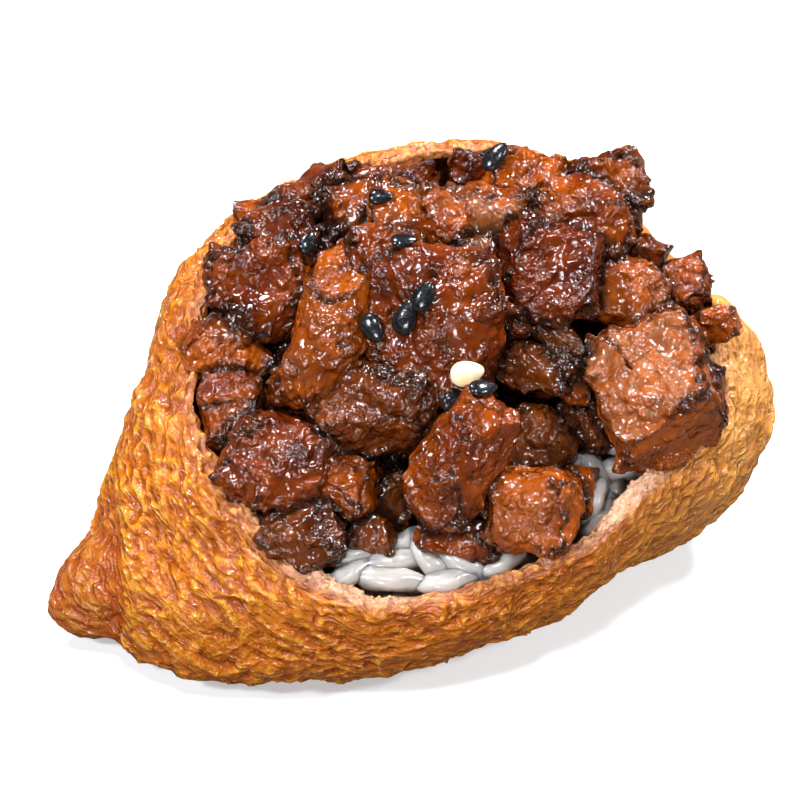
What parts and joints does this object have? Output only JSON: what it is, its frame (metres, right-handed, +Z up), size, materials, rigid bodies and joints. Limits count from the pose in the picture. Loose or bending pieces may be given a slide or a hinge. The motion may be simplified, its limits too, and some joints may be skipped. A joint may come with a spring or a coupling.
{
  "type": "inari sushi",
  "caption": "Open-topped inari sushi: a fried tofu pouch pinched to a corner at one end, filled with rice and heaped with glazed chopped meat.",
  "frame": {"origin": "on the resting plane, under the middle of the outline", "axes": "+X from the pinched corner towards the round end, +Y from the low front lip towards the high back lip, +Z up"},
  "size_m": [0.0752, 0.051, 0.037],
  "materials": {
    "tofu_skin": "oily, wrinkled and blistered",
    "cooked_rice": "moist",
    "glazed_meat": "sticky dark glaze"
  },
  "bodies": {
    "root": {"meat_back": "glazed_meat", "meat_back_left": "glazed_meat", "meat_back_middle": "glazed_meat", "meat_back_right": "glazed_meat", "meat_centre_right": "glazed_meat", "meat_crown": "glazed_meat", "meat_crown_left": "glazed_meat", "meat_dark_cube": "glazed_meat", "meat_far_right": "glazed_meat", "meat_fold": "glazed_meat", "meat_front_ball": "glazed_meat", "meat_front_shred": "glazed_meat", "meat_front_slab": "glazed_meat", "meat_inner_right": "glazed_meat", "meat_left_corner": "glazed_meat", "meat_left_front": "glazed_meat", "meat_left_low": "glazed_meat", "meat_left_middle": "glazed_meat", "meat_left_rib": "glazed_meat", "meat_left_slab": "glazed_meat", "meat_low_right": "glazed_meat", "meat_middle_low": "glazed_meat", "meat_nugget": "glazed_meat", "meat_nugget_knob": "glazed_meat", "meat_pale_shred": "glazed_meat", "meat_ridge": "glazed_meat", "meat_right_behind": "glazed_meat", "meat_right_cube": "glazed_meat", "meat_right_shoulder": "glazed_meat", "meat_right_tail": "glazed_meat", "meat_small_low": "glazed_meat", "meat_top": "glazed_meat", "meat_twist": "glazed_meat", "meat_upper_left": "glazed_meat", "pouch": "tofu_skin", "rice": "cooked_rice"}
  },
  "joints": []
}
